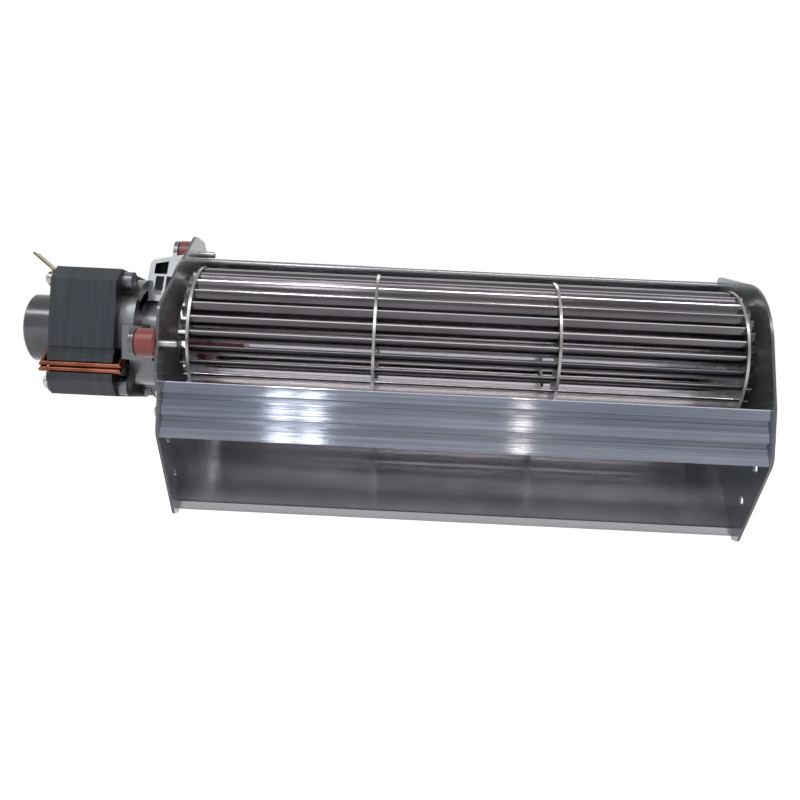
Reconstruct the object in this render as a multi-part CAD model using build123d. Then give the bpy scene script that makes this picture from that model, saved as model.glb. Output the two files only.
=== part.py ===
from build123d import *
import os
from math import acos, atan2, cos, degrees, hypot, radians, sin, sqrt

# Cross flow fan with a shaded-pole motor on its left end. All lengths are millimetres, angles degrees.
#
# The fan is laid out about the drum's axis: X runs along the shaft with the motor at -X, Y points to the
# back and Z up, and X = 0 is half-way between the side plates. Profiles across the shaft are drawn in
# (Y, Z). Angles round the axis are counted from the front (-Y) upwards. The drum turns from the top
# towards the back. The last section moves the origin to the left plate's fixing holes.

# ---- drum ----
wheel_radius = 30.0             # to the blades' outer edges
blade_inner_radius = 22.5
blade_count = 30
blade_thickness = 0.4
blade_outlet_angle = 25.0       # between a blade's outer edge and the rim
section_count = 3
section_pitch = 77.5            # from disc to disc
disc_thickness = 1.2
disc_rim = 0.8                  # metal outside the blades
ring_inner_radius = 19.5
tab_reach = 3.2                 # of the blade tabs past the end discs
tab_share = 0.56                # share of the blade's arc that runs on as a tab
slot_clearance = 0.06
slot_facets = 3                 # straight cuts along each blade slot

# ---- shafts and hubs ----
shaft_radius = 3.0
shaft_chamfer = 0.4
running_gap = 0.03              # radial, shaft in bush
hub_sleeve_radius = 5.0
hub_sleeve_lead = 1.5           # of the steel sleeve past the rubber
hub_neck = 8.0                  # rubber hub where it passes the left disc
hub_flange = 13.0
hub_flange_thickness = 2.2
hub_taper = 0.5
hub_length = 18.0               # inside the drum
stub_flange_radius = 10.0
stub_flange_thickness = 1.5
stub_spigot = 5.0               # centres the stub shaft in the right disc
stub_overhang = 1.6             # of the stub shaft past its clip
clip_radius = 5.0
clip_groove = 0.5
clip_mouth = 4.6
rivet_radius = 1.25
rivet_head_radius = 2.1
rivet_head_height = 0.7
rivet_circle_radius = 7.5
rivet_count = 3
washer_radius = 5.0
washer_thickness = 0.8
washer_play = 0.1

# ---- side plates ----
plate_gap = 7.5                 # from an end disc to the side plate
plate_thickness = 1.2
plate_arc_radius = 34.4         # round the open front of the drum
plate_arc_end = 82.0            # angle at which that arc meets the top edge
plate_front = 39.2              # front edge, in front of the axis
plate_shoulder = -21.2          # height of the front edge's upper end
plate_kink = -43.2              # height of its lower end
plate_tip = (-8.6, -79.9)
plate_margin = 1.5              # of the plates past the casing's back
shoulder_round = 14.0
kink_round = 8.0
tip_round = 2.5
heel_round = 1.5
crown_round = 4.0
drive_hole_radius = 17.0        # in the left plate
fixing_middle = (-17.5, -53.95)
fixing_circle = 20.0
fixing_slope = -49.7            # of the line through both fixing holes
fixing_hole_radius = 2.1
fit_gap = 0.1                   # round tabs, screws and rings in their holes

# ---- casing sheet ----
casing_sheet = 0.8
casing_top = (26.0, 40.8)
casing_lip = (-3.7, -77.7)
outlet_slope = 50.0             # of the straight run up from the lip
outlet_run = 38.0
top_bead = 1.8                  # outer radius of the edge rolled in along the top
lip_flange = 3.0               # upright edge along the lip
casing_tab = 8.0                # width of the tabs that hold the casing in the plates
casing_tab_reach = 1.4          # past the plates' outer faces
casing_tab_margin = 4.0         # from a tab to the end of the casing's arc

# ---- front panel ----
panel_front = 37.6              # in front of the axis
panel_top = -21.8
panel_height = 22.9
panel_wall = 1.3
panel_nose_gap = 3.6            # from the drum's rim to the panel's inner edge
panel_band = 4.4                # height of each of the three raised bands
panel_step = 0.45               # depth of each of the two steps in a groove
channel_radius = 2.5
channel_places = ((-33.4, -26.1), (-33.5, -34.4))
panel_screw_radius = 1.4
panel_screw_head = 2.7
panel_screw_head_height = 1.8
panel_screw_depth = 9.0

# ---- motor mounting ----
stud_circle_radius = 41.5
stud_angles = (110.5, -9.5, 230.5)
stud_radius = 1.5
stud_tip = 0.5
stud_inside = 6.8               # length of thread inside the left plate
stud_lead = 1.0                 # of the stud past the bracket's lug
ear_height = 45.6               # of the left plate's upper ear, above the axis
ear_back = 20.5                 # of its back end, behind the axis
ear_front = 44.5                # of the left plate's front ear, in front of the axis
ear_foot = -20.5                # height of its lower end
ear_line_angle = 52.7           # of the edge between both ears, counted from the front
ear_line_distance = 33.3        # of that edge from the axis
ear_round = 6.0
damper_radius = 5.9
damper_length = 8.4
damper_edge = 0.8

# ---- front bracket ----
arm_depth = 10.3                # along the shaft
arm_back = 6.0                  # from the arm's middle to its back wall
arm_wall = 2.4
arm_reach = 33.0                # radius of the arm's end, on the motor's side
arm_rise = 3.5                  # by which that radius grows towards the plate
arm_corner = 3.0
lug_thickness = 2.0
lug_radius = 5.6
lug_width = 10.0
bell_radius = 23.5
bell_depth = 4.1
bell_wall = 2.6
apron_angles = (-165.0, -15.0)  # where the bell's wall runs on beside the arms
bearing_nose_radius = 14.0
bearing_nose_length = 10.5
bearing_nose_lip = 1.5
bearing_nose_clearance = 1.0
vent_angle = 44.0
vent_margin = 1.5               # metal between a vent and the nose, and a vent and the bell's wall
gusset_thickness = 1.9
gusset_gap = 0.3                # from the damper to the gusset beside it
gusset_reach = 4.4              # past the lug, beside the damper
gusset_window_height = 9.5
gusset_frame = 1.2              # metal round the windows
gusset_post = 1.0               # between the two windows
gusset_window_share = 0.42      # of the first window in both

# ---- stator ----
stack_length = 27.6
stack_front = 27.5              # in front of the axis
stack_half = 27.2               # half height
stack_drop = 2.0                # of its middle below the axis
stack_chamfer = 6.0
stack_block_back = 22.0         # where the full height ends behind the axis
stack_back = 48.0
leg_outer = 22.5
leg_inner = 12.5
window_front = 18.0
yoke_depth = 10.0
stator_bore = 13.7
groove_height = -10.4           # of the groove along the stack's front
groove_width = 2.4
groove_depth = 1.1
ring_wire = 1.1                 # radius of the copper shading rings
ring_depth = 1.2                # of their front bars behind the stack's front
ring_heights = (-16.4, -18.8)
ring_inner_place = 17.2         # radius at which the rings pass through the pole
ring_inner_angles = (-22.0, -33.0)
ring_overhang = 2.4             # from the stack's end to the wire's axis
motor_screw_y = 17.0
motor_screw_z = 22.2
motor_screw_radius = 1.75
motor_head_radius = 3.1
motor_head_height = 2.9
foot_radius = 4.4               # round the motor screws
foot_root_width = 14.0

# ---- coil ----
bobbin_wall = 1.0
coil_thickness = 6.5
coil_inset = 0.8                # of the winding inside its flanges
terminal_block = (30.0, 4.0, 4.0)
terminal_spread = 16.0
terminal_width = 6.3
terminal_thickness = 0.8
terminal_length = 9.5
terminal_corner = 1.2
earth_tab_slope = 38.0          # of the earth tab's bent end
earth_tab_length = 11.0
earth_tab_rise = 0.6            # from the screw head to the bend

# ---- rear bracket and bushes ----
rear_cup_radius = 15.0
rear_cup_depth = 17.0
rear_cup_wall = 1.6
rear_cup_edge = 0.8
rear_flange = 2.2
rear_arm_root_width = 8.0
bush_radius = 6.0
bush_length = 9.0

# ---- rotor ----
air_gap = 0.4
rotor_inset = 1.4               # of the core inside the stack's ends
cage_length = 2.0
cage_inset = 0.6
cage_width = 3.9

# ---- right-hand bearing ----
grommet_radius = 13.5
grommet_seat = 11.0             # radius of the hole in the right plate
grommet_lip = 3.0
grommet_taper = 2.0
end_bush_radius = 5.5
end_bush_proud = 1.0            # of the bush past the grommet

# ---- places along the shaft ----
disc_places = [(i - section_count / 2) * section_pitch for i in range(section_count + 1)]
disc_right = disc_places[-1]
disc_outer = disc_right + disc_thickness / 2
disc_inner = disc_right - disc_thickness / 2
plate_inner = disc_right + plate_gap
plate_outer = plate_inner + plate_thickness
lug_right = -plate_outer - damper_length
lug_left = lug_right - lug_thickness
arm_left = lug_right - arm_depth
arm_right = arm_left + arm_wall
stack_right = arm_left - bell_depth
stack_left = stack_right - stack_length
stack_middle = (stack_left + stack_right) / 2
flange_left = stack_left - rear_flange
cup_end = stack_left - rear_cup_depth
nose_end = arm_right + bearing_nose_length
front_bush_end = nose_end - bearing_nose_lip
front_bush_start = front_bush_end - bush_length
rear_bush_start = cup_end + rear_cup_wall
rear_bush_end = rear_bush_start + bush_length
hub_start = -disc_outer - hub_flange_thickness
hub_end = -disc_inner + hub_length
stub_flange_end = disc_outer + stub_flange_thickness
end_washer_end = stub_flange_end + washer_thickness
end_bush_end = plate_outer + grommet_lip + end_bush_proud
clip_start = end_bush_end + washer_play
clip_end = clip_start + washer_thickness

rim_radius = wheel_radius + disc_rim
rotor_radius = stator_bore - air_gap


# ---- helpers ----
def slab(profile, x_from, x_to):
    """A (Y, Z) profile pulled along X between two places."""
    return extrude(Plane.YZ.offset(min(x_from, x_to)) * profile, abs(x_to - x_from), dir=(1, 0, 0))


def tube(outer, inner, x_from, x_to):
    """A tube about the shaft's axis."""
    return slab(Circle(outer) - Circle(inner), x_from, x_to)


def turned(points):
    """A body turned about the axis from (X, radius) points."""
    return revolve(Plane.XZ * make_face(Polyline(*points, close=True)), Axis.X)


def round_place(radius, angle):
    """The (Y, Z) place at a radius and an angle counted from the front upwards."""
    return (-radius * cos(radians(angle)), radius * sin(radians(angle)))


def dots(places, radius):
    """Circles at several (Y, Z) places."""
    return [Pos(*place) * Circle(radius) for place in places]


def group(solids):
    """Like pieces that share one part."""
    return Compound([piece.solid() for piece in solids])


def sector(inner, outer, angle_from, angle_to, centre=(0, 0)):
    """Part of a ring between two angles counted from +Y towards +Z."""
    inner_arc = CenterArc(centre, inner, angle_from, angle_to - angle_from)
    outer_arc = CenterArc(centre, outer, angle_from, angle_to - angle_from)
    ends = [Line(inner_arc @ end, outer_arc @ end) for end in (0, 1)]
    return make_face([inner_arc, outer_arc, *ends])


def spoke(place, end_radius, root_width):
    """Tapered arm from the axis to a round end at a place."""
    reach = hypot(*place)
    half_root = root_width / 2
    half_end = 0.8 * end_radius
    taper = Polyline((0, -half_root), (reach, -half_end), (reach, half_end), (0, half_root), close=True)
    arm = make_face(taper) + Pos(reach, 0) * Circle(end_radius)
    return Rot(0, 0, degrees(atan2(place[1], place[0]))) * arm


def screw(radius, head_radius, head_height, seat, tip, place):
    """A pan-head screw along X; seat is the face under its head."""
    away = 1 if seat > tip else -1
    head = slab(Pos(*place) * Circle(head_radius), seat, seat + away * head_height)
    crown = head.faces().sort_by(Axis.X)[-1 if away > 0 else 0]
    head = chamfer(crown.edges(), 0.4 * head_height)
    return head + slab(Pos(*place) * Circle(radius), seat, tip)


parts = {}

# ---- blades: each section is an arc that meets the inner radius square and the rim at the outlet angle ----
blade_arc = (wheel_radius**2 - blade_inner_radius**2) / (2 * wheel_radius * cos(radians(blade_outlet_angle)))
arc_distance = hypot(blade_inner_radius, blade_arc)
arc_corner = (arc_distance**2 + blade_arc**2 - wheel_radius**2) / (2 * arc_distance * blade_arc)
blade_sweep = degrees(acos(arc_corner) - atan2(blade_inner_radius, blade_arc))


def arc_point(radius, turn):
    """A point at a radius from the blade's arc centre, turned from the blade's inner edge."""
    return (blade_inner_radius + radius * sin(radians(turn)), radius * cos(radians(turn)) - blade_arc)


outer_edge = arc_point(blade_arc, blade_sweep)
blade_lead = degrees(atan2(outer_edge[1], outer_edge[0]))


def blade_section(turn_from, turn_to):
    """Section of a blade between two turns of its arc."""
    half = (turn_from + turn_to) / 2
    inner = blade_arc - blade_thickness / 2
    outer = blade_arc + blade_thickness / 2
    inner_arc = ThreePointArc(*[arc_point(inner, turn) for turn in (turn_from, half, turn_to)])
    outer_arc = ThreePointArc(*[arc_point(outer, turn) for turn in (turn_from, half, turn_to)])
    ends = [Line(inner_arc @ end, outer_arc @ end) for end in (0, 1)]
    return make_face([inner_arc, outer_arc, *ends])


def slot_section(turn_from, turn_to):
    """Punched slot round a stretch of the blade's section, in straight cuts."""
    margin = degrees(slot_clearance / blade_arc)
    step = (turn_to - turn_from + 2 * margin) / slot_facets
    turns = [turn_from - margin + i * step for i in range(slot_facets + 1)]
    inner = blade_arc - blade_thickness / 2 - slot_clearance
    outer = (blade_arc + blade_thickness / 2 + slot_clearance) / cos(radians(step / 2))
    points = [arc_point(inner, turn) for turn in turns]
    points += [arc_point(outer, turn) for turn in reversed(turns)]
    return make_face(Polyline(*points, close=True))


# One blade's outer edge lies exactly at the front.
blade_turns = [180.0 - blade_lead + i * 360.0 / blade_count for i in range(blade_count)]
tab_from = blade_sweep * (1 - tab_share) / 2
tab_to = blade_sweep - tab_from
blade = slab(blade_section(0.0, blade_sweep), -disc_inner, disc_inner)
for side in (-1, 1):
    blade += slab(blade_section(tab_from, tab_to), side * disc_inner, side * (disc_outer + tab_reach))
parts["impeller_blades"] = group([Rot(turn, 0, 0) * blade for turn in blade_turns])


def disc(place, hole_radius, slot, rivet_holes=()):
    """A disc or ring of the drum with its blade slots."""
    profile = Circle(rim_radius) - Circle(hole_radius)
    profile -= [Rot(0, 0, turn) * slot for turn in blade_turns]
    for hole in rivet_holes:
        profile -= hole
    return slab(profile, place - disc_thickness / 2, place + disc_thickness / 2)


for number, place in enumerate(disc_places[1:-1], start=1):
    parts[f"support_ring_{number}"] = disc(place, ring_inner_radius, slot_section(0.0, blade_sweep))
rivet_places = [round_place(rivet_circle_radius, 90.0 + i * 360.0 / rivet_count) for i in range(rivet_count)]
rivet_holes = dots(rivet_places, rivet_radius + fit_gap)
parts["left_end_disc"] = disc(-disc_right, hub_neck, slot_section(tab_from, tab_to))
parts["right_end_disc"] = disc(disc_right, stub_spigot, slot_section(tab_from, tab_to), rivet_holes)

# ---- drive hub: rubber moulded through the left disc, round a steel sleeve ----
parts["drive_hub"] = turned(
    [
        (hub_start, hub_sleeve_radius),
        (hub_start, hub_flange - hub_taper),
        (hub_start + hub_taper, hub_flange),
        (-disc_outer, hub_flange),
        (-disc_outer, hub_neck),
        (-disc_inner, hub_neck),
        (-disc_inner, hub_flange),
        (-disc_inner + hub_flange_thickness, hub_flange),
        (-disc_inner + 2 * hub_flange_thickness, hub_neck + hub_taper),
        (hub_end, hub_neck - hub_taper),
        (hub_end, hub_sleeve_radius),
    ]
)
parts["hub_sleeve"] = tube(hub_sleeve_radius, shaft_radius, hub_start - hub_sleeve_lead, hub_end)

# ---- stub shaft: flange riveted to the right disc, with a clip outside its bearing ----
groove_radius = shaft_radius - clip_groove
parts["stub_shaft"] = turned(
    [
        (disc_inner, 0),
        (disc_inner, stub_spigot),
        (disc_outer, stub_spigot),
        (disc_outer, stub_flange_radius),
        (stub_flange_end, stub_flange_radius),
        (stub_flange_end, shaft_radius),
        (clip_start, shaft_radius),
        (clip_start, groove_radius),
        (clip_end, groove_radius),
        (clip_end, shaft_radius),
        (clip_end + stub_overhang - shaft_chamfer, shaft_radius),
        (clip_end + stub_overhang, shaft_radius - shaft_chamfer),
        (clip_end + stub_overhang, 0),
    ]
) - slab(Sketch() + rivet_holes, disc_outer, stub_flange_end)
rivets = []
for place in rivet_places:
    head = Pos(*place) * Circle(rivet_head_radius)
    rivet = slab(Pos(*place) * Circle(rivet_radius), disc_inner, stub_flange_end)
    rivet += slab(head, disc_inner - rivet_head_height, disc_inner)
    rivet += slab(head, stub_flange_end, stub_flange_end + rivet_head_height)
    rivets.append(rivet)
parts["stub_rivets"] = group(rivets)
clip_gap = Pos(0, -clip_radius) * Rectangle(clip_mouth, 2 * clip_radius)
parts["stub_clip"] = slab(Circle(clip_radius) - Circle(groove_radius) - clip_gap, clip_start, clip_end)
parts["end_washer"] = tube(washer_radius, shaft_radius, stub_flange_end, end_washer_end)

# ---- right-hand bearing: sintered bush in a rubber grommet ----
end_bush_start = end_washer_end + washer_play
parts["end_bush"] = tube(end_bush_radius, shaft_radius + running_gap, end_bush_start, end_bush_end)
parts["end_grommet"] = turned(
    [
        (plate_inner - grommet_lip, end_bush_radius),
        (plate_inner - grommet_lip, grommet_radius - grommet_taper),
        (plate_inner, grommet_radius),
        (plate_inner, grommet_seat),
        (plate_outer, grommet_seat),
        (plate_outer, grommet_radius),
        (plate_outer + grommet_lip, grommet_radius - grommet_taper),
        (plate_outer + grommet_lip, end_bush_radius),
    ]
)

# ---- casing: a straight run up from the lip, then one tangent arc to the top edge ----
run_dir = Vector(cos(radians(outlet_slope)), sin(radians(outlet_slope)))
run_normal = Vector(-run_dir.Y, run_dir.X)
lip = Vector(*casing_lip)
top = Vector(*casing_top)
run_end = lip + run_dir * outlet_run
chord = top - run_end
casing_radius = chord.length**2 / (2 * chord.dot(run_normal))
casing_centre = run_end + run_normal * casing_radius
arc_start = outlet_slope - 90.0
arc_end = degrees(atan2(top.Y - casing_centre.Y, top.X - casing_centre.X))


def along_arc(length):
    """Turn of the casing's arc over a length of it."""
    return degrees(length / casing_radius)


def arc_strip(inside, outside, angle_from, angle_to):
    """Strip of the casing's arc, inside and outside its air surface."""
    return sector(casing_radius - inside, casing_radius + outside, angle_from, angle_to, casing_centre)


def run_strip(inside, outside, length):
    """Strip of the casing's straight run, up from the lip."""
    middle = lip + run_dir * (length / 2) + run_normal * ((inside - outside) / 2)
    return Pos(*middle) * Rot(0, 0, outlet_slope) * Rectangle(length, inside + outside)


casing_profile = run_strip(0, casing_sheet, outlet_run) + arc_strip(0, casing_sheet, arc_start, arc_end)
lip_middle = (lip.X - casing_sheet / 2, lip.Y + lip_flange / 2)
casing_profile += Pos(*lip_middle) * Rectangle(casing_sheet, lip_flange)
bead_middle = top + (casing_centre - top).normalized() * (top_bead - casing_sheet)
casing_profile += Pos(*bead_middle) * (Circle(top_bead) - Circle(top_bead - casing_sheet))
casing_profile += dots([casing_lip], casing_sheet)
tab_turn = along_arc(casing_tab)
lowest_tab = arc_start + along_arc(casing_tab_margin)
highest_tab = arc_end - along_arc(2 * top_bead + casing_tab_margin) - tab_turn
tab_starts = [lowest_tab, (lowest_tab + highest_tab) / 2, highest_tab]
casing = slab(casing_profile, -plate_inner, plate_inner)
for start in tab_starts:
    for side in (-1, 1):
        tab = arc_strip(0, casing_sheet, start, start + tab_turn)
        casing += slab(tab, side * plate_inner, side * (plate_outer + casing_tab_reach))
parts["scroll_casing"] = casing

# ---- side plates ----
shoulder = (-plate_front, plate_shoulder)
kink = (-plate_front, plate_kink)
tangent_angle = degrees(acos(plate_arc_radius / hypot(*shoulder)) + atan2(plate_shoulder, plate_front))
back_offset = casing_sheet + plate_margin
back_line = lip - run_normal * back_offset
heel = back_line + run_dir * ((plate_tip[1] - back_line.Y) / run_dir.Y)
plate_back = CenterArc(casing_centre, casing_radius + back_offset, arc_start, arc_end - arc_start)
plate_arc = CenterArc((0, 0), plate_arc_radius, 180.0 - plate_arc_end, plate_arc_end - tangent_angle)
plate_profile = make_face(
    [
        plate_arc,
        Line(plate_arc @ 1, shoulder),
        Line(shoulder, kink),
        Line(kink, plate_tip),
        Line(plate_tip, heel),
        Line(heel, plate_back @ 0),
        plate_back,
        Line(plate_back @ 1, plate_arc @ 0),
    ]
)
for place, radius in (
    (shoulder, shoulder_round),
    (kink, kink_round),
    (plate_tip, tip_round),
    (heel, heel_round),
    (plate_back @ 1, crown_round),
):
    plate_profile = fillet(plate_profile.vertices().sort_by_distance(Vector(*place))[0], radius)

fixing_line = Pos(*fixing_middle) * Rot(0, 0, fixing_slope)
for side in (-1, 1):
    plate_profile -= fixing_line * Pos(side * fixing_circle / 2, 0) * Circle(fixing_hole_radius)
plate_profile -= dots(channel_places, panel_screw_radius + fit_gap)
for start in tab_starts:
    edge = along_arc(fit_gap)
    plate_profile -= arc_strip(fit_gap, casing_sheet + fit_gap, start - edge, start + tab_turn + edge)

stud_places = [round_place(stud_circle_radius, angle) for angle in stud_angles]
line_out = (-cos(radians(ear_line_angle)), sin(radians(ear_line_angle)))
upper_corner = ((ear_line_distance - ear_height * line_out[1]) / line_out[0], ear_height)
front_corner = (-ear_front, (ear_line_distance + ear_front * line_out[0]) / line_out[1])
ears = make_face(
    Polyline(
        front_corner,
        upper_corner,
        (ear_back, ear_height),
        casing_top,
        (0, 0),
        (-plate_front, ear_foot - ear_round),
        (-ear_front, ear_foot),
        close=True,
    )
)
for place in (front_corner, upper_corner, (ear_back, ear_height), (-ear_front, ear_foot)):
    ears = fillet(ears.vertices().sort_by_distance(Vector(*place))[0], ear_round)
left_profile = plate_profile + ears - Circle(drive_hole_radius) - dots(stud_places, stud_radius + fit_gap)
parts["left_side_plate"] = slab(left_profile, -plate_outer, -plate_inner)
parts["right_side_plate"] = slab(plate_profile - Circle(grommet_seat), plate_inner, plate_outer)

# ---- front panel: hollow extrusion with a grooved face, a nose at the drum and two screw channels ----
groove_span = (panel_height - 3 * panel_band) / 2
face_points = []
for band in range(3):
    band_top = panel_top - band * (panel_band + groove_span)
    band_bottom = band_top - panel_band
    face_points += [(-panel_front, band_top), (-panel_front, band_bottom)]
    if band < 2:
        deep = -panel_front + 2 * panel_step
        shallow = -panel_front + panel_step
        half_way = band_bottom - groove_span / 2
        face_points += [(deep, band_bottom), (deep, half_way)]
        face_points += [(shallow, half_way), (shallow, band_bottom - groove_span)]
nose_y = -sqrt((rim_radius + panel_nose_gap) ** 2 - panel_top**2)
panel_outline = make_face(Polyline(*face_points, (nose_y, panel_top), close=True))
cavity_front = -panel_front + 2 * panel_step + panel_wall
cavity_top = panel_top - panel_wall
back_rise = panel_height / (nose_y + panel_front)
wall_along_y = panel_wall * hypot(1, back_rise) / back_rise
cavity_back = nose_y - wall_along_y - panel_wall / back_rise
cavity = make_face(
    Polyline(
        (cavity_front, cavity_top),
        (cavity_back, cavity_top),
        (cavity_front, cavity_top - (cavity_back - cavity_front) * back_rise),
        close=True,
    )
)
panel_profile = panel_outline - cavity
for place in channel_places:
    panel_profile += (Pos(*place) * Circle(channel_radius)) & panel_outline
panel_profile -= dots(channel_places, panel_screw_radius)
parts["front_panel"] = slab(panel_profile, -plate_inner, plate_inner)
panel_screws = []
for side in (-1, 1):
    tip = side * (plate_inner - panel_screw_depth)
    for place in channel_places:
        head = (panel_screw_head, panel_screw_head_height)
        panel_screws.append(screw(panel_screw_radius, *head, side * plate_outer, tip, place))
parts["panel_screws"] = group(panel_screws)

# ---- three rubber dampers between the bracket's lugs and the left plate, on headless screws ----
damper_bore = stud_radius + fit_gap
damper = turned(
    [
        (lug_right, damper_bore),
        (lug_right, damper_radius - damper_edge),
        (lug_right + damper_edge, damper_radius),
        (-plate_outer - damper_edge, damper_radius),
        (-plate_outer, damper_radius - damper_edge),
        (-plate_outer, damper_bore),
    ]
)
stud = slab(Circle(stud_radius), lug_left - stud_lead, stud_inside - plate_inner)
stud = chamfer(stud.edges().filter_by(GeomType.CIRCLE), stud_tip)
for number, place in enumerate(stud_places, start=1):
    parts[f"motor_damper_{number}"] = Pos(0, *place) * damper
parts["mount_screws"] = group([Pos(0, *place) * stud for place in stud_places])

# ---- shading rings: where they pass through the pole and round the stack's front ----
ring_inner_places = [round_place(ring_inner_place, angle) for angle in ring_inner_angles]
ring_outer_places = [(ring_depth - stack_front, height) for height in ring_heights]
ring_left = stack_left - ring_overhang
ring_right = stack_right + ring_overhang
rings = []
for inner_place, outer_place in zip(ring_inner_places, ring_outer_places):
    corners = [
        (ring_left, *inner_place),
        (ring_right, *inner_place),
        (ring_right, *outer_place),
        (ring_left, *outer_place),
    ]
    section = Plane((stack_middle, *inner_place), z_dir=(1, 0, 0)) * Circle(ring_wire)
    start = (stack_middle, *inner_place)
    loop = Polyline(start, corners[1], corners[2], corners[3], corners[0], start)
    rings.append(sweep(section, path=loop, transition=Transition.RIGHT))
parts["shading_rings"] = group(rings)

# ---- front bracket: one casting with bell, apron, bearing nose, three arms and their gussets ----
motor_screw_places = []
for height in (motor_screw_z, -motor_screw_z):
    motor_screw_places += [(side * motor_screw_y, height - stack_drop) for side in (-1, 1)]
window_foot = bearing_nose_radius + gusset_frame
window_top = window_foot + gusset_window_height
gusset_offset = damper_radius + gusset_gap
gusset_right = lug_right + gusset_reach
gusset_foot = bearing_nose_radius - gusset_thickness
arm_slope = arm_rise / (gusset_right - arm_left)
arm_start = (arm_left, arm_reach)


def arm_slab(profile, t_from, t_to):
    """An (X, radius) profile of the arm that points up, between two distances in front of its middle."""
    return extrude(Plane.XZ.offset(t_from) * profile, t_to - t_from, dir=(0, -1, 0))


def arm_top(x, depth=0.0):
    """Radius of the arm's sloping end at a place along the shaft, or of a depth under it."""
    return arm_reach + (x - arm_left) * arm_slope - depth


gusset_profile = make_face(
    Polyline(
        (arm_left, gusset_foot),
        (nose_end, gusset_foot),
        (gusset_right, bearing_nose_radius),
        (gusset_right, arm_top(gusset_right)),
        arm_start,
        close=True,
    )
)
box_profile = make_face(
    Polyline(
        (arm_left, window_top),
        (lug_right, window_top),
        (lug_right, arm_top(lug_right)),
        arm_start,
        close=True,
    )
)
pocket_profile = make_face(
    Polyline(
        (arm_right, window_top + gusset_frame),
        (lug_left, window_top + gusset_frame),
        (lug_left, arm_top(lug_left, arm_wall)),
        (arm_right, arm_top(arm_right, arm_wall)),
        close=True,
    )
)
gusset_profile, box_profile = [
    fillet(profile.vertices().sort_by_distance(Vector(*arm_start))[0], arm_corner)
    for profile in (gusset_profile, box_profile)
]
window_span = gusset_right - arm_right - 2 * gusset_frame - gusset_post
first_width = gusset_window_share * window_span
first_start = arm_right + gusset_frame
second_start = first_start + first_width + gusset_post
for start, width in ((first_start, first_width), (second_start, window_span - first_width)):
    middle = (start + width / 2, window_foot + gusset_window_height / 2)
    gusset_profile -= Pos(*middle) * Rectangle(width, gusset_window_height)
gusset_front = gusset_offset + gusset_thickness
lug_profile = Rectangle(lug_width, stud_circle_radius - window_top, align=(Align.CENTER, Align.MIN))
lug_profile = Pos(0, window_top) * lug_profile + Pos(0, stud_circle_radius) * Circle(lug_radius)
lug_profile -= Pos(0, stud_circle_radius) * Circle(stud_radius)
arm = arm_slab(box_profile, -arm_back, gusset_front)
arm -= arm_slab(pocket_profile, arm_wall - arm_back, gusset_front)
arm += arm_slab(gusset_profile - box_profile, gusset_offset, gusset_front)
arm += slab(lug_profile, lug_left, lug_right)

arm_profile = Circle(bell_radius)
back_wall = Rectangle(arm_back + gusset_front, window_top + gusset_frame, align=(Align.CENTER, Align.MIN))
back_wall = Pos((arm_back - gusset_front) / 2, 0) * back_wall
arm_profile += [Rot(0, 0, 90.0 - angle) * back_wall for angle in stud_angles]
for angle in stud_angles:
    middle = 120.0 - angle
    vent_from = middle - vent_angle / 2
    vent_outer = bell_radius - bell_wall - vent_margin
    arm_profile -= sector(bearing_nose_radius + vent_margin, vent_outer, vent_from, vent_from + vent_angle)
arm_profile -= Circle(bush_radius) + dots(motor_screw_places, motor_screw_radius)
bell_profile = Circle(bell_radius)
bell_profile += [spoke(place, foot_radius, foot_root_width) for place in motor_screw_places]
bell_profile -= Circle(bell_radius - bell_wall)
bell_profile -= dots(motor_screw_places, motor_screw_radius)
for inner_place, outer_place in zip(ring_inner_places, ring_outer_places):
    bell_profile -= make_hull((Sketch() + dots([inner_place, outer_place], 2 * ring_wire)).edges())
apron_profile = sector(bell_radius - bell_wall, bell_radius, 180.0 - apron_angles[1], 180.0 - apron_angles[0])
bracket = slab(arm_profile, arm_left, arm_right) + slab(bell_profile, stack_right, arm_left)
bracket += tube(bearing_nose_radius, bush_radius, arm_right, front_bush_end)
bracket += tube(bearing_nose_radius, shaft_radius + bearing_nose_clearance, front_bush_end, nose_end)
bracket += slab(apron_profile, arm_right, nose_end)
for angle in stud_angles:
    bracket += Rot(90.0 - angle, 0, 0) * arm
parts["motor_bracket"] = bracket
parts["front_bush"] = tube(bush_radius, shaft_radius + running_gap, front_bush_start, front_bush_end)

# ---- stator: C-shaped stack round the rotor, and the yoke bar that carries the coil ----
upper_half = [
    (-stack_front, stack_half - stack_chamfer),
    (-stack_front + stack_chamfer, stack_half),
    (stack_block_back, stack_half),
    (stack_block_back + stack_half - leg_outer, leg_outer),
    (stack_back, leg_outer),
    (stack_back, leg_inner),
    (window_front, leg_inner),
]
lower_half = [(y, -z) for y, z in reversed(upper_half)]
stack_profile = Pos(0, -stack_drop) * make_face(Polyline(*upper_half, *lower_half, close=True))
stack_profile -= Circle(stator_bore)
stack_profile -= Pos(-stack_front, groove_height) * Rectangle(2 * groove_depth, groove_width)
recess_margin = ring_wire + fit_gap
recess_middle = (min(ring_heights) + max(ring_heights)) / 2
recess_height = max(ring_heights) - min(ring_heights) + 2 * recess_margin
recess_depth = ring_depth + recess_margin
stack_profile -= Pos(-stack_front, recess_middle) * Rectangle(2 * recess_depth, recess_height)
stack_profile -= dots(motor_screw_places, motor_screw_radius + fit_gap)
stack_profile -= dots(ring_inner_places, recess_margin)
parts["stator_stack"] = slab(stack_profile, stack_left, stack_right)
yoke_middle = stack_back - yoke_depth / 2
yoke_profile = Pos(yoke_middle, -stack_drop) * Rectangle(yoke_depth, 2 * leg_inner)
parts["coil_yoke"] = slab(yoke_profile, stack_left, stack_right)

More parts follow.
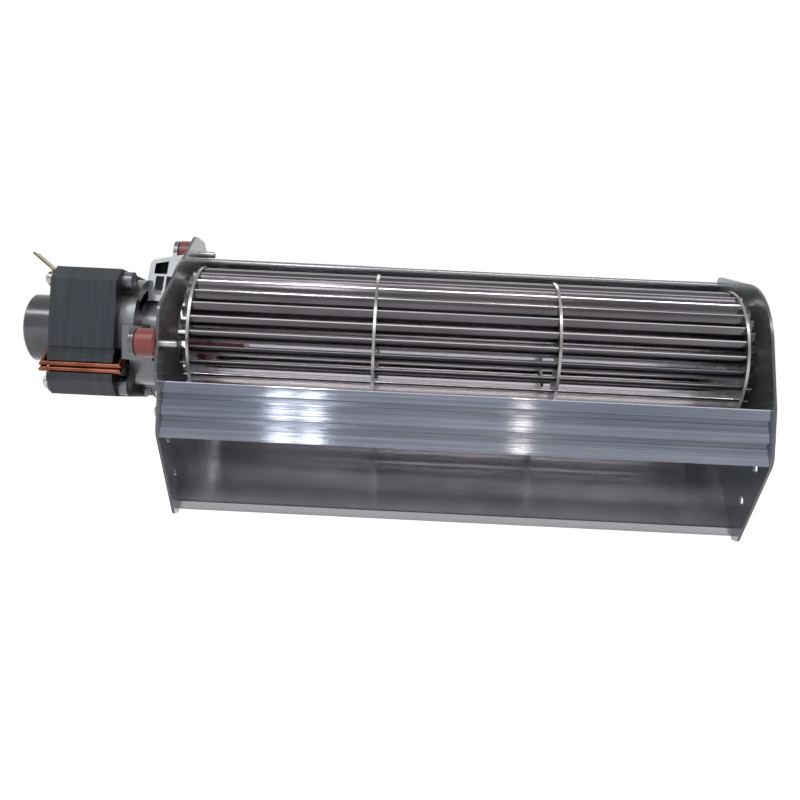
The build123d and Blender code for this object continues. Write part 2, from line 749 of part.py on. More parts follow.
# ---- coil on its moulded bobbin, round the yoke bar ----
core_x = stack_length + 2 * bobbin_wall
core_y = yoke_depth + 2 * bobbin_wall
flange_x = core_x + 2 * coil_thickness
flange_y = core_y + 2 * coil_thickness
flange_z = leg_inner - (bobbin_wall + fit_gap) / 2
block_x, block_y, block_z = terminal_block
block_middle = flange_y / 2 + block_y / 2 - bobbin_wall
terminal_z = flange_z + (bobbin_wall - block_z) / 2
core_opening = Box(stack_length + fit_gap, yoke_depth + fit_gap, 4 * leg_inner)
bobbin = Box(core_x, core_y, 2 * leg_inner - fit_gap)
for side in (-1, 1):
    bobbin += Pos(0, 0, side * flange_z) * Box(flange_x, flange_y, bobbin_wall)
bobbin += Pos(0, block_middle, terminal_z) * Box(block_x, block_y, block_z)
bobbin -= core_opening
winding = Box(flange_x - 2 * coil_inset, flange_y - 2 * coil_inset, 2 * flange_z - bobbin_wall)
winding = fillet(winding.edges().filter_by(Axis.Z), 0.7 * coil_thickness) - Box(core_x, core_y, 4 * leg_inner)
winding -= Pos(0, block_middle, terminal_z) * Box(block_x, block_y, block_z)
terminals = []
for side in (-1, 1):
    place = (side * terminal_spread / 2, block_middle + (block_y + terminal_length) / 2, terminal_z)
    tab = Pos(*place) * Box(terminal_width, terminal_length, terminal_thickness)
    terminals.append(chamfer(tab.faces().sort_by(Axis.Y)[-1].edges().filter_by(Axis.Z), terminal_corner))
coil_place = Pos(stack_middle, yoke_middle, -stack_drop)
parts["coil_bobbin"] = coil_place * bobbin
parts["coil_winding"] = coil_place * winding
parts["coil_terminals"] = group([coil_place * tab for tab in terminals])

# ---- rear bracket: flange with four arms and a deep bearing cup ----
rear_profile = Circle(rear_cup_radius)
rear_profile += [spoke(place, foot_radius, rear_arm_root_width) for place in motor_screw_places]
rear_profile -= dots(motor_screw_places, motor_screw_radius + fit_gap)
cup = slab(Circle(rear_cup_radius), cup_end, flange_left)
rear_bracket = slab(rear_profile, flange_left, stack_left)
rear_bracket += chamfer(cup.faces().sort_by(Axis.X)[0].edges(), rear_cup_edge)
rear_bracket -= slab(Circle(rear_cup_radius - rear_cup_wall), rear_bush_end, stack_left)
rear_bracket -= slab(Circle(bush_radius), rear_bush_start, stack_left)
parts["rear_bracket"] = rear_bracket
parts["rear_bush"] = tube(bush_radius, shaft_radius + running_gap, rear_bush_start, rear_bush_end)

# ---- motor screws; the first, at the upper front, also holds the bent earth tab ----
earth_place = motor_screw_places[0]
motor_screws = []
for place in motor_screw_places:
    seat = flange_left - (terminal_thickness if place == earth_place else 0)
    head = (motor_head_radius, motor_head_height)
    motor_screws.append(screw(motor_screw_radius, *head, seat, arm_left, place))
parts["motor_screws"] = group(motor_screws)
tab_middle = flange_left - terminal_thickness / 2
bend_height = earth_place[1] + motor_head_radius + earth_tab_rise
tab_end = (
    tab_middle - earth_tab_length * cos(radians(earth_tab_slope)),
    bend_height + earth_tab_length * sin(radians(earth_tab_slope)),
)
tab_path = Polyline((tab_middle, earth_place[1] - motor_head_radius), (tab_middle, bend_height), tab_end)
tab_plane = Plane.XZ.offset(-earth_place[0] - terminal_width / 2)
earth_tab = extrude(tab_plane * trace(tab_path, terminal_thickness), terminal_width, dir=(0, -1, 0))
earth_hole = Pos(*earth_place) * Circle(motor_screw_radius + fit_gap)
parts["earth_tab"] = earth_tab - slab(earth_hole, flange_left - 2 * terminal_thickness, flange_left)

# ---- rotor on the motor shaft ----
core_left = stack_left + rotor_inset
core_right = stack_right - rotor_inset
shaft = slab(Circle(shaft_radius), rear_bush_start + shaft_chamfer, hub_end)
parts["motor_shaft"] = chamfer(shaft.edges().filter_by(GeomType.CIRCLE), shaft_chamfer)
parts["rotor_core"] = tube(rotor_radius, shaft_radius, core_left, core_right)
cage_radius = rotor_radius - cage_inset
end_rings = [
    tube(cage_radius, cage_radius - cage_width, start, start + cage_length)
    for start in (core_left - cage_length, core_right)
]
parts["rotor_end_rings"] = group(end_rings)
washer_starts = (rear_bush_end + washer_play, front_bush_start - washer_thickness - washer_play)
washers = [tube(washer_radius, shaft_radius, start, start + washer_thickness) for start in washer_starts]
parts["thrust_washers"] = group(washers)

# ---- write every part, with the origin at the left plate's fixing holes, on its outer face ----
to_origin = Pos(plate_outer, -fixing_middle[0], -fixing_middle[1])
os.makedirs("parts", exist_ok=True)
for name, part in parts.items():
    print(name, part.is_valid, len(part.solids()), round(part.volume, 1))
    export_step(to_origin * part, f"parts/{name}.step")
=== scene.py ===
from math import atan2, cos, pi, radians, sin

import bmesh
import bpy
from mathutils import Matrix, Vector


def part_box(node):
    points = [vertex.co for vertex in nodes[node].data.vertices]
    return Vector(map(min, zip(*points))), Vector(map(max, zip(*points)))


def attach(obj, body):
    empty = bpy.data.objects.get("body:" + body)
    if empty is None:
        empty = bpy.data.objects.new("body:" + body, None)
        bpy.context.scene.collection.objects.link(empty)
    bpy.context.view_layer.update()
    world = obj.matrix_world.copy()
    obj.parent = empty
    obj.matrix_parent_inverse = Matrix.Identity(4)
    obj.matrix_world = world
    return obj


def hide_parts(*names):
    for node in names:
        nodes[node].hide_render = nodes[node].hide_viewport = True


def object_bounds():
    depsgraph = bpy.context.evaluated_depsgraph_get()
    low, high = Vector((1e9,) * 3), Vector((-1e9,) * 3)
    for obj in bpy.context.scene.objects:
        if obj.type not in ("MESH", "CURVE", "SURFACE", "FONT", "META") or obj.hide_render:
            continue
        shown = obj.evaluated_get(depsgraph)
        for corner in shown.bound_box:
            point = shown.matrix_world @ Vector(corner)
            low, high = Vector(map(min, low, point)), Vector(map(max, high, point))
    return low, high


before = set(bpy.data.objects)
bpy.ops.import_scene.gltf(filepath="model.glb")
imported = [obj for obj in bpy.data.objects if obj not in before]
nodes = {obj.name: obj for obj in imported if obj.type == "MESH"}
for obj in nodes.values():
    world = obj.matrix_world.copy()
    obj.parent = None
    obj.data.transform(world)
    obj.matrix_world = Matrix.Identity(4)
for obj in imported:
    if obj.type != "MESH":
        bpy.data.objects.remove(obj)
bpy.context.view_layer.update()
scene = bpy.context.scene

# The fan stands with its shaft along X, the motor at -X and its open side towards -Y. All lengths are metres.

# ---- the drum's middle, from which the camera, the lamps and the casing are placed ----
left_disc_low, left_disc_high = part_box("left_end_disc")
drum_middle = (left_disc_low + left_disc_high) / 2
drum_middle.x = (left_disc_low.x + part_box("right_end_disc")[1].x) / 2

# ---- camera ----
camera_offset = Vector((-0.0237, -0.368, -0.0249))      # from the drum's middle
camera_yaw = radians(-0.5)
camera_roll = radians(2.77)
camera_lens = 36.7
camera_sensor = 36.0
camera_near = 0.01

forward = Vector((sin(camera_yaw), cos(camera_yaw), 0.0))
level = Vector((cos(camera_yaw), -sin(camera_yaw), 0.0))
upright = Vector((0.0, 0.0, 1.0))
camera_right = level * cos(camera_roll) + upright * sin(camera_roll)
camera_up = upright * cos(camera_roll) - level * sin(camera_roll)
camera = bpy.data.objects.new("camera", bpy.data.cameras.new("camera"))
camera.data.sensor_width = camera_sensor
camera.data.lens = camera_lens
camera.data.clip_start = camera_near
camera_axes = Matrix((camera_right, camera_up, -forward)).transposed().to_4x4()
camera.matrix_world = Matrix.Translation(drum_middle + camera_offset) @ camera_axes
scene.collection.objects.link(camera)
scene.camera = camera
scene.view_settings.view_transform = "Standard"


# ---- material shorthand ----
class Look:
    """A Principled material, with shorthand for the nodes that vary it over the surface."""

    def __init__(self, name, colour, metallic, roughness):
        self.material = bpy.data.materials.new(name)
        self.material.use_nodes = True
        self.tree = self.material.node_tree
        self.shader = self.tree.nodes["Principled BSDF"]
        self.shader.inputs["Base Color"].default_value = (*colour, 1.0)
        self.shader.inputs["Metallic"].default_value = metallic
        self.shader.inputs["Roughness"].default_value = roughness
        coordinates = self.node("ShaderNodeTexCoord")
        self.place = coordinates.outputs["Object"]
        self.normal = coordinates.outputs["Normal"]

    def node(self, kind, inputs=None, **settings):
        """A node with its settings and its inputs, given as values or as sockets to link."""
        node = self.tree.nodes.new(kind)
        for key, value in settings.items():
            setattr(node, key, value)
        for key, value in (inputs or {}).items():
            if isinstance(value, bpy.types.NodeSocket):
                self.tree.links.new(value, node.inputs[key])
            else:
                node.inputs[key].default_value = value
        return node

    def link(self, output, socket):
        """Feed one of the shader's sockets."""
        self.tree.links.new(output, self.shader.inputs[socket])

    def noise(self, scale, detail=3.0, stretch=(1, 1, 1)):
        """Cloudy noise, with features of about 1 / scale metres."""
        stretched = self.node("ShaderNodeMapping", {"Vector": self.place, "Scale": stretch})
        inputs = {"Vector": stretched.outputs["Vector"], "Scale": scale, "Detail": detail, "Roughness": 0.55}
        return self.node("ShaderNodeTexNoise", inputs).outputs["Fac"]

    def ramp(self, value, low, high):
        """Colours between two stops of (place, colour or grey level)."""
        node = self.node("ShaderNodeValToRGB", {"Fac": value})
        for element, (place, colour) in zip(node.color_ramp.elements, (low, high)):
            grey = isinstance(colour, float)
            element.position = place
            element.color = (colour, colour, colour, 1.0) if grey else (*colour, 1.0)
        return node.outputs["Color"]

    def math(self, operation, first, second=0.0):
        """One of the operations on numbers."""
        inputs = {0: first, 1: second}
        return self.node("ShaderNodeMath", inputs, operation=operation).outputs["Value"]

    def vector(self, operation, inputs):
        """One of the operations on vectors."""
        return self.node("ShaderNodeVectorMath", inputs, operation=operation).outputs["Vector"]

    def spread(self, value, low, high, to_low, to_high):
        """A value mapped from one range to another and clamped there."""
        inputs = {
            "Value": value,
            "From Min": low,
            "From Max": high,
            "To Min": to_low,
            "To Max": to_high,
        }
        return self.node("ShaderNodeMapRange", inputs).outputs["Result"]

    def mix(self, factor, first, second, blend="MIX"):
        """Mix of two colours, each a socket or a colour."""
        node = self.node("ShaderNodeMix", data_type="RGBA", blend_type=blend)
        factor_socket, first_socket, second_socket = node.inputs[0], node.inputs[6], node.inputs[7]
        for socket, value in ((factor_socket, factor), (first_socket, first), (second_socket, second)):
            if isinstance(value, bpy.types.NodeSocket):
                self.tree.links.new(value, socket)
            elif socket == factor_socket:
                socket.default_value = value
            else:
                socket.default_value = (*value, 1.0)
        return node.outputs[2]

    def part(self, vector, axis):
        """One of a vector's three parts."""
        return self.node("ShaderNodeSeparateXYZ", {"Vector": vector}).outputs[axis]

    def axis(self, name):
        """One of the object coordinates."""
        return self.part(self.place, name)

    def facing(self, name, low, high):
        """1 where the surface faces along an axis, either way, and 0 where it doesn't."""
        normal = self.node("ShaderNodeNewGeometry").outputs["True Normal"]
        return self.spread(self.math("ABSOLUTE", self.part(normal, name)), low, high, 0.0, 1.0)

    def bump(self, height, distance):
        """Raise the surface by a height between 0 and 1 times a distance, over what is raised already."""
        inputs = {"Height": height, "Distance": distance, "Strength": 1.0}
        if self.shader.inputs["Normal"].is_linked:
            inputs["Normal"] = self.shader.inputs["Normal"].links[0].from_socket
        self.link(self.node("ShaderNodeBump", inputs).outputs["Normal"], "Normal")

    def drawn(self, pitch, lean):
        """Lean the surface line by line about the shaft's direction, as fine drawn lines do."""
        height = self.math("ADD", self.axis("Z"), self.axis("Y"))
        number = self.math("FLOOR", self.math("DIVIDE", height, pitch))
        chance = self.node("ShaderNodeTexWhiteNoise", {"W": number}, noise_dimensions="1D")
        amount = self.spread(chance.outputs["Value"], 0.0, 1.0, -lean, lean)
        normal = self.node("ShaderNodeNewGeometry").outputs["Normal"]
        along = (1.0, 0.0, 0.0)
        across = self.vector("CROSS_PRODUCT", {0: along, 1: normal})
        leaned = self.vector("ADD", {0: normal, 1: self.vector("SCALE", {0: across, "Scale": amount})})
        self.link(self.vector("NORMALIZE", {0: leaned}), "Normal")


def dress(look, *names):
    """Give CAD nodes or new pieces a material."""
    for name in names:
        piece = nodes[name] if name in nodes else bpy.data.objects[name]
        piece.data.materials.clear()
        piece.data.materials.append(look.material)


cloud_low = 0.3                         # the range of a cloudy noise that colours are spread over
cloud_high = 0.7
rougher = 0.08                          # by which the roughness grows over that range


def varied(name, metallic, roughness, dark, light, smoother, top=cloud_high, **cloud_noise):
    """A material whose colour and roughness follow one cloudy noise, and the socket of its colour."""
    look = Look(name, light, metallic, roughness)
    cloud = look.noise(**cloud_noise)
    tone = look.ramp(cloud, (cloud_low, dark), (top, light))
    look.link(tone, "Base Color")
    swing = look.spread(cloud, cloud_low, cloud_high, roughness - smoother, roughness + rougher)
    look.link(swing, "Roughness")
    return look, tone


# ---- casing: one sheet from the turned-up lip to the edge rolled in along its top ----
# Places in its profile are (depth, height) from the drum's middle.
sheet = 0.0008
lip = Vector((-0.0037, -0.0777))
lip_height = 0.003
lip_bend = 0.0005                       # radius of the sheet's middle line at the lip
outlet_slope = radians(50.0)
outlet_run = 0.038
solid_top = Vector((0.0260, 0.0408))    # where the CAD solid's arc ends
top_shorter = 0.0035                    # by which this sheet's arc ends sooner
top_bead = 0.0018
bead_turn = 1.85 * pi
tab_width = 0.008
tab_margin = 0.004                      # from a tab to the end of the solid's arc
tab_reach = 0.0014                      # past the plates' outer faces
run_steps = 12
lip_steps = 8
arc_steps = 60
bead_steps = 30
tab_steps = 6
sharp_angle = radians(40.0)


def turn(centre, radius, angle_from, angle_to, steps):
    """Points of an arc, both ends included."""
    angles = [angle_from + (angle_to - angle_from) * step / steps for step in range(steps + 1)]
    return [centre + Vector((cos(angle), sin(angle))) * radius for angle in angles]


def add_sheet(pieces, line, left, right):
    """Add sheet that follows a middle line, between two places along the shaft."""
    rows = []
    for number, point in enumerate(line):
        way = line[min(number + 1, len(line) - 1)] - line[max(number - 1, 0)]
        out = Vector((way.y, -way.x)).normalized() * sheet / 2
        corners = ((left, point + out), (right, point + out), (right, point - out), (left, point - out))
        rows.append([pieces.verts.new((x, *(drum_middle.yz + place))) for x, place in corners])
    for first, second in zip(rows, rows[1:]):
        for corner in range(4):
            after = (corner + 1) % 4
            pieces.faces.new((first[corner], first[after], second[after], second[corner]))
    pieces.faces.new(rows[0][::-1])
    pieces.faces.new(rows[-1])


run_way = Vector((cos(outlet_slope), sin(outlet_slope)))
run_normal = Vector((-run_way.y, run_way.x))
run_end = lip + run_way * outlet_run
chord = solid_top - run_end
casing_radius = chord.length_squared / (2 * chord.dot(run_normal))
casing_centre = run_end + run_normal * casing_radius
middle_radius = casing_radius + sheet / 2
arc_start = outlet_slope - pi / 2
arc_stop = atan2(solid_top.y - casing_centre.y, solid_top.x - casing_centre.x)

bend_inside = lip_bend - sheet / 2
bend_middle_x = lip.x - sheet / 2 + lip_bend
bend_along = (bend_middle_x - lip.x - bend_inside * run_normal.x) / run_way.x
bend_middle = Vector((bend_middle_x, (lip + run_way * bend_along + run_normal * bend_inside).y))
bead_start = arc_stop - top_shorter / casing_radius
bead_way = Vector((cos(bead_start), sin(bead_start)))
bead_middle = casing_centre + bead_way * (casing_radius + sheet - top_bead)

casing_line = [Vector((lip.x - sheet / 2, lip.y + lip_height))]
casing_line += turn(bend_middle, lip_bend, pi, 2 * pi + arc_start, lip_steps)
run_first = casing_line[-1]
run_last = run_end - run_normal * sheet / 2
casing_line += [run_first.lerp(run_last, step / run_steps) for step in range(1, run_steps)]
casing_line += turn(casing_centre, middle_radius, arc_start, bead_start, arc_steps)
casing_line += turn(bead_middle, top_bead - sheet / 2, bead_start, bead_start + bead_turn, bead_steps)[1:]

left_outer, left_inner = (corner.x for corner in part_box("left_side_plate"))
right_inner, right_outer = (corner.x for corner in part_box("right_side_plate"))
tab_turn = tab_width / casing_radius
lowest_tab = arc_start + tab_margin / casing_radius
highest_tab = arc_stop - (2 * top_bead + tab_margin) / casing_radius - tab_turn
casing_pieces = bmesh.new()
add_sheet(casing_pieces, casing_line, left_inner, right_inner)
for start in (lowest_tab, (lowest_tab + highest_tab) / 2, highest_tab):
    tab_line = turn(casing_centre, middle_radius, start, start + tab_turn, tab_steps)
    add_sheet(casing_pieces, tab_line, left_outer - tab_reach, left_inner)
    add_sheet(casing_pieces, tab_line, right_inner, right_outer + tab_reach)
bmesh.ops.recalc_face_normals(casing_pieces, faces=casing_pieces.faces)
casing_mesh = bpy.data.meshes.new("casing_sheet")
casing_pieces.to_mesh(casing_mesh)
casing_pieces.free()
casing_mesh.shade_smooth()
casing_mesh.set_sharp_from_angle(angle=sharp_angle)
casing = bpy.data.objects.new("casing_sheet", casing_mesh)
scene.collection.objects.link(casing)
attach(casing, "frame")
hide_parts("scroll_casing")


# ---- zinc-coated steel sheet: cloudy film and faint marks of the rolls ----
fine_relief = 0.00002


def coated(name, dark, light, roughness):
    """Zinc-coated sheet of the side plates or the casing."""
    look, tone = varied(name, 0.8, roughness, dark, light, 0.06, scale=26.0, detail=4.0, stretch=(0.6, 1, 1))
    roll_marks = look.noise(scale=900.0, detail=2.0, stretch=(0.2, 1, 1))
    look.bump(roll_marks, fine_relief)
    return look, tone


cut_edge = (0.1, 0.1, 0.105)
plate_look, plate_tone = coated("zinc_plate", (0.26, 0.28, 0.29), (0.40, 0.42, 0.43), 0.24)
on_face = plate_look.facing("X", 0.3, 0.7)
plate_look.link(plate_look.mix(on_face, cut_edge, plate_tone), "Base Color")
dress(plate_look, "left_side_plate", "right_side_plate")

# Painted shade on the casing: its colour is darker above the drum's middle, on its back and along the lip.
upper_painted_shade = (0.19, 0.19, 0.2)
upper_fade = 0.03
back_painted_shade = (0.3, 0.305, 0.32)
lip_painted_shade = (0.3, 0.3, 0.315)
lip_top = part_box("scroll_casing")[0].z + 0.004
lip_fade = 0.0004
casing_look, casing_tone = coated("casing_sheet", (0.56, 0.57, 0.62), (0.78, 0.79, 0.85), 0.19)
casing_height = casing_look.axis("Z")
# Painted shade above the drum's middle.
upper = casing_look.spread(casing_height, drum_middle.z, drum_middle.z + upper_fade, 0.0, 1.0)
casing_tone = casing_look.mix(upper, casing_tone, upper_painted_shade)
# Painted shade on the faces turned to the back.
back = casing_look.spread(casing_look.part(casing_look.normal, "Y"), -0.2, 0.2, 0.0, 1.0)
casing_tone = casing_look.mix(back, casing_tone, back_painted_shade)
# Painted shade along the lip.
on_lip = casing_look.spread(casing_height, lip_top - lip_fade, lip_top + lip_fade, 1.0, 0.0)
casing_look.link(casing_look.mix(on_lip, casing_tone, lip_painted_shade), "Base Color")
dress(casing_look, "casing_sheet")

# ---- extruded aluminium panel: drawn lines lengthwise, dull patches, painted shade in the grooves, painted highlight along the top edge ----
panel_dark = (0.13, 0.146, 0.188)
panel_light = (0.225, 0.245, 0.295)
panel_rim_highlight = (0.5, 0.52, 0.56)
broad_line_shade = 0.7
groove_painted_shade = 0.72
groove_depths = (0.0001, 0.0006)        # behind the panel's front, where a groove's painted shade starts and ends
back_depths = (0.0008, 0.0012)          # where the rougher surface behind the front starts and ends
rim_heights = (0.0006, 0.0002)          # under the panel's top, where the painted highlight of the edge starts and ends
rim_share = 0.7
front_roughness = 0.075
back_roughness = 0.35
line_pitch = 0.00002
line_lean = 0.36
panel_low, panel_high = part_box("front_panel")
panel_look = Look("panel_aluminium", panel_light, 1.0, front_roughness)
patches = panel_look.noise(scale=20.0, detail=4.0, stretch=(0.35, 1, 2))
panel_tone = panel_look.ramp(patches, (cloud_low, panel_dark), (cloud_high, panel_light))
broad_lines = panel_look.noise(scale=900.0, stretch=(0.01, 1, 1))
broad_lines = panel_look.ramp(broad_lines, (cloud_low, broad_line_shade), (cloud_high, 1.0))
panel_tone = panel_look.mix(1.0, panel_tone, broad_lines, "MULTIPLY")
depth = panel_look.math("SUBTRACT", panel_look.axis("Y"), panel_low.y)
# Painted shade in the grooves.
grooves = panel_look.spread(depth, *groove_depths, 0.0, 1.0)
grooves = panel_look.ramp(grooves, (0.0, 1.0), (1.0, groove_painted_shade))
panel_tone = panel_look.mix(1.0, panel_tone, grooves, "MULTIPLY")
# Painted highlight along the panel's top edge.
rim_start, rim_end = (panel_high.z - height for height in rim_heights)
rim_highlight = panel_look.spread(panel_look.axis("Z"), rim_start, rim_end, 0.0, rim_share)
panel_look.link(panel_look.mix(rim_highlight, panel_tone, panel_rim_highlight), "Base Color")
panel_look.link(panel_look.spread(depth, *back_depths, front_roughness, back_roughness), "Roughness")
panel_look.drawn(line_pitch, line_lean)
dress(panel_look, "front_panel")

# ---- aluminium blades: dark brown outside; painted light on their inner parts and hollow sides, which lie in shade inside the drum; painted highlight along their outer edges ----
outer_dark = (0.055, 0.05, 0.056)
outer_light = (0.095, 0.088, 0.098)
inner_painted_light = (0.55, 0.52, 0.54)
hollow_painted_light = (0.66, 0.62, 0.64)
edge_highlight = (0.42, 0.42, 0.43)
edge_depth = 0.00006
inner_light_from = 0.8                        # shares of the blades' reach between which the painted light of the inner parts gives way to the dark outer tone
inner_light_to = 0.94
hollow_from = -0.15                     # outward parts of the normal between which the painted light of the hollow side ends
hollow_to = 0.05
blades_low, blades_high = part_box("impeller_blades")
blade_reach = (blades_high.z - blades_low.z) / 2
blade_look = Look("blade_aluminium", outer_light, 1.0, 0.2)
side = blade_look.math("SUBTRACT", blade_look.axis("Y"), drum_middle.y)
rise = blade_look.math("SUBTRACT", blade_look.axis("Z"), drum_middle.z)
squares = blade_look.math("ADD", blade_look.math("POWER", side, 2.0), blade_look.math("POWER", rise, 2.0))
reach = blade_look.math("SQRT", squares)
blade_cloud = blade_look.noise(scale=60.0, stretch=(0.3, 1, 1))
blade_tone = blade_look.ramp(blade_cloud, (cloud_low, outer_dark), (cloud_high, outer_light))
# Painted light on the inner parts of the blades.
inner_light_mask = blade_look.spread(reach, inner_light_from * blade_reach, inner_light_to * blade_reach, 1.0, 0.0)
blade_tone = blade_look.mix(inner_light_mask, blade_tone, inner_painted_light)
outward = blade_look.math(
    "ADD",
    blade_look.math("MULTIPLY", side, blade_look.part(blade_look.normal, "Y")),
    blade_look.math("MULTIPLY", rise, blade_look.part(blade_look.normal, "Z")),
)
outward = blade_look.math("DIVIDE", outward, reach)
# Painted light on the hollow sides of the blades.
hollow_light_mask = blade_look.spread(outward, hollow_from, hollow_to, 1.0, 0.0)
blade_tone = blade_look.mix(hollow_light_mask, blade_tone, hollow_painted_light)
# Painted highlight along the blades' outer edges.
edge_from = blade_reach - edge_depth
edge_to = blade_reach - edge_depth / 3
edge_highlight_mask = blade_look.spread(reach, edge_from, edge_to, 0.0, 1.0)
blade_look.link(blade_look.mix(edge_highlight_mask, blade_tone, edge_highlight), "Base Color")
blade_look.bump(blade_look.noise(scale=1500.0, detail=2.0, stretch=(0.05, 1, 1)), fine_relief)
dress(blade_look, "impeller_blades")

disc_dark = (0.16, 0.157, 0.157)
disc_light = (0.34, 0.333, 0.333)
disc_look = Look("disc_aluminium", disc_light, 1.0, 0.3)
disc_cloud = disc_look.noise(scale=120.0)
disc_tone = disc_look.ramp(disc_cloud, (cloud_low, disc_dark), (cloud_high, disc_light))
disc_look.link(disc_tone, "Base Color")
dress(disc_look, "left_end_disc", "right_end_disc", "support_ring_1", "support_ring_2")


# ---- plain metals ----
def metal(name, dark, light, roughness, cloud=75.0, relief=fine_relief):
    """Metal with a cloudy tone and a grain 24 times finer."""
    look, _ = varied(name, 1.0, roughness, dark, light, 0.06, scale=cloud, detail=4.0)
    look.bump(look.noise(scale=24 * cloud), relief)
    return look


cast_relief = 0.00003
zinc_look = metal("zinc_screws", (0.22, 0.22, 0.22), (0.4, 0.4, 0.39), 0.28)
dress(zinc_look, "panel_screws", "mount_screws", "motor_screws")
steel_look = metal("turned_steel", (0.3, 0.3, 0.31), (0.5, 0.5, 0.51), 0.22)
dress(steel_look, "stub_shaft", "stub_rivets", "hub_sleeve", "motor_shaft")
spring_look = metal("spring_steel", (0.2, 0.2, 0.22), (0.34, 0.34, 0.36), 0.3)
dress(spring_look, "stub_clip")
cast_look = metal("cast_zinc", (0.065, 0.068, 0.073), (0.15, 0.157, 0.165), 0.28, 55.0, cast_relief)
dress(cast_look, "motor_bracket")
cup_look = metal("bright_zinc", (0.055, 0.055, 0.058), (0.1, 0.1, 0.104), 0.2, 45.0, cast_relief)
dress(cup_look, "rear_bracket")
bronze_look = metal("sintered_bronze", (0.3, 0.2, 0.1), (0.48, 0.34, 0.2), 0.42)
dress(bronze_look, "front_bush", "rear_bush", "end_bush")
cage_look = metal("cage_aluminium", (0.5, 0.5, 0.51), (0.68, 0.68, 0.69), 0.4)
dress(cage_look, "rotor_end_rings")
brass_look = metal("brass", (0.14, 0.11, 0.05), (0.3, 0.24, 0.12), 0.3)
dress(brass_look, "coil_terminals", "earth_tab")
copper_look = metal("copper", (0.1, 0.03, 0.016), (0.24, 0.085, 0.045), 0.24)
dress(copper_look, "shading_rings")

# ---- laminations: sheet edges stacked along the shaft, and painted shade on the end faces ----
sheet_pitch = 0.0005
wave_scale = 2 * pi / (20 * sheet_pitch)    # a wave texture has 20 / (2 pi) waves in a unit
sheet_relief = 0.00006
sheet_shade = 0.62
stain_high = 0.72
stack_dark = (0.022, 0.026, 0.034)
stack_light = (0.036, 0.041, 0.052)
stack_end_painted_shade = (0.014, 0.015, 0.017)
stack_look = Look("lamination", stack_light, 0.5, 0.42)
wave_inputs = {"Vector": stack_look.place, "Scale": wave_scale, "Distortion": 0.0}
sheet_wave = stack_look.node("ShaderNodeTexWave", wave_inputs, bands_direction="X").outputs["Fac"]
sheet_noise = stack_look.noise(scale=900.0, detail=2.0, stretch=(1, 0.02, 0.02))
stain = stack_look.noise(scale=70.0, detail=4.0, stretch=(1, 0.5, 0.5))
stack_tone = stack_look.ramp(stain, (cloud_low, stack_dark), (stain_high, stack_light))
sheet_tone = stack_look.ramp(sheet_noise, (cloud_low, sheet_shade), (cloud_high, 1.0))
stack_tone = stack_look.mix(1.0, stack_tone, sheet_tone, "MULTIPLY")
# Painted shade on the stack's end faces, which lie in shade.
end_shade_mask = stack_look.facing("X", 0.6, 0.9)
stack_look.link(stack_look.mix(end_shade_mask, stack_tone, stack_end_painted_shade), "Base Color")
stack_look.bump(sheet_wave, sheet_relief)
stack_look.bump(sheet_noise, sheet_relief)
dress(stack_look, "stator_stack", "coil_yoke", "rotor_core")


# ---- rubbers and plastics ----
moulded_relief = 0.00004


def moulded(name, dark, light, roughness):
    """Moulded plastic or rubber with a faint bloom."""
    look, _ = varied(name, 0.0, roughness, dark, light, 0.08, stain_high, scale=130.0, detail=4.0)
    look.bump(look.noise(scale=700.0), moulded_relief)
    return look


silicone_look = moulded("red_silicone", (0.11, 0.014, 0.012), (0.19, 0.03, 0.025), 0.34)
dress(silicone_look, "motor_damper_1", "motor_damper_2", "motor_damper_3", "drive_hub")
rubber_look = moulded("black_rubber", (0.012, 0.012, 0.013), (0.035, 0.035, 0.037), 0.6)
dress(rubber_look, "end_grommet")
plastic_look = moulded("moulded_black", (0.015, 0.015, 0.016), (0.04, 0.04, 0.042), 0.38)
dress(plastic_look, "coil_bobbin")
tape_look = moulded("winding_tape", (0.5, 0.38, 0.14), (0.66, 0.54, 0.24), 0.35)
dress(tape_look, "coil_winding")
fibre_look = moulded("fibre", (0.2, 0.06, 0.03), (0.32, 0.12, 0.06), 0.55)
dress(fibre_look, "end_washer", "thrust_washers")


# ---- floor and world: white where they are seen or mirrored, weaker as light on the object ----
def seen_rays(tree):
    """1 for camera, glossy and transmission rays, which show the backdrop; 0 for the rest."""
    path = tree.nodes.new("ShaderNodeLightPath")
    total = path.outputs["Is Camera Ray"]
    for name in ("Is Glossy Ray", "Is Transmission Ray"):
        either = tree.nodes.new("ShaderNodeMath")
        either.operation = "MAXIMUM"
        tree.links.new(total, either.inputs[0])
        tree.links.new(path.outputs[name], either.inputs[1])
        total = either.outputs["Value"]
    return total


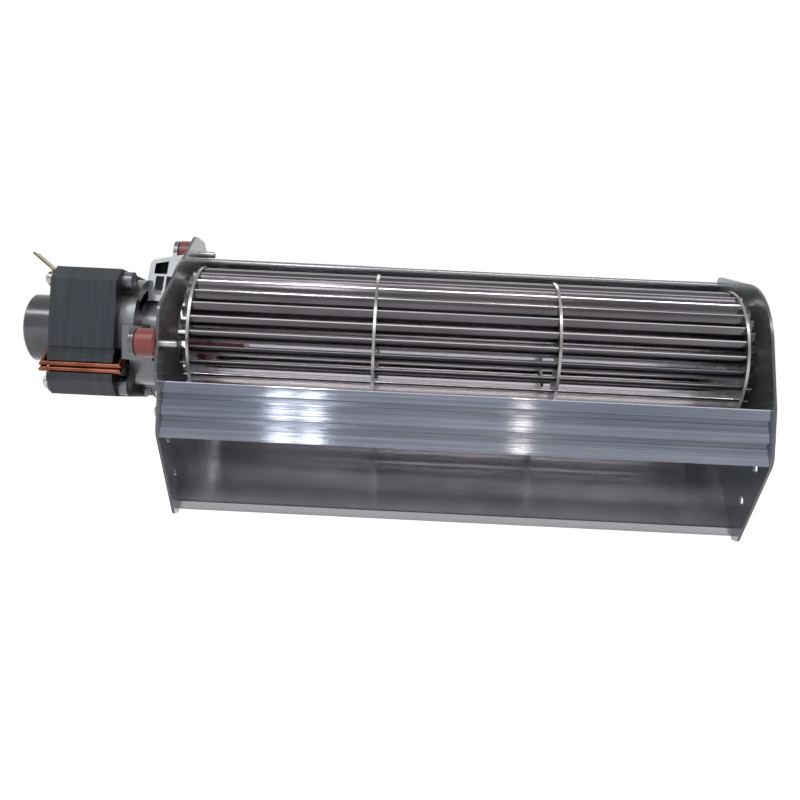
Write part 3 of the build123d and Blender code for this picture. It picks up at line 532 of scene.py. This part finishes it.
white = (1.0, 1.0, 1.0)
floor_half = 6.0
floor_colour = (0.82, 0.82, 0.82)
floor_glow = 0.75
floor_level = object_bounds()[0].z
floor_corners = ((-1, -1), (1, -1), (1, 1), (-1, 1))
floor_mesh = bpy.data.meshes.new("floor")
floor_points = [(x * floor_half, y * floor_half, floor_level) for x, y in floor_corners]
floor_mesh.from_pydata(floor_points, [], [(0, 1, 2, 3)])
floor = bpy.data.objects.new("floor", floor_mesh)
scene.collection.objects.link(floor)
floor_look = Look("floor", floor_colour, 0.0, 0.9)
floor_look.shader.inputs["Specular IOR Level"].default_value = 0.0
floor_look.shader.inputs["Emission Color"].default_value = (*white, 1.0)
floor_look.link(floor_look.math("MULTIPLY", seen_rays(floor_look.tree), floor_glow), "Emission Strength")
floor.data.materials.append(floor_look.material)

world_light = 0.4
world = bpy.data.worlds.new("studio")
scene.world = world
world.use_nodes = True
sky = world.node_tree.nodes["Background"]
sky.inputs["Color"].default_value = (*white, 1.0)
sky_level = world.node_tree.nodes.new("ShaderNodeMapRange")
sky_level.inputs["To Min"].default_value = world_light
sky_level.inputs["To Max"].default_value = 1.0
world.node_tree.links.new(seen_rays(world.node_tree), sky_level.inputs["Value"])
world.node_tree.links.new(sky_level.outputs["Result"], sky.inputs["Strength"])

# ---- lamps: two tubes and a warm bulb that the panel mirrors, a long strip above and one behind ----
warm = (1.0, 0.84, 0.68)
tube_middle = -0.219
tube_pitch = 0.0555
mirrored_depth = -1.0
mirrored_height = 0.56


def lamp(name, offset, width, height, energy, colour=white):
    """Rectangular area lamp at an offset from the drum's middle, aimed there."""
    data = bpy.data.lights.new(name, "AREA")
    data.shape = "RECTANGLE"
    data.size = width
    data.size_y = height
    data.energy = energy
    data.color = colour
    piece = bpy.data.objects.new(name, data)
    piece.location = drum_middle + Vector(offset)
    piece.rotation_euler = (-Vector(offset)).to_track_quat("-Z", "Y").to_euler()
    scene.collection.objects.link(piece)


for place in (tube_middle - tube_pitch / 2, tube_middle + tube_pitch / 2):
    lamp("tube", (place, mirrored_depth, mirrored_height), width=0.03, height=0.3, energy=1.15)
bulb_place = (0.183, mirrored_depth, mirrored_height)
lamp("bulb", bulb_place, width=0.012, height=0.3, energy=0.6, colour=warm)
lamp("strip", (0.0, -0.85, 1.0), width=1.8, height=0.2, energy=12.0)
lamp("back", (0.2, 1.0, 0.9), width=0.6, height=0.4, energy=5.0)
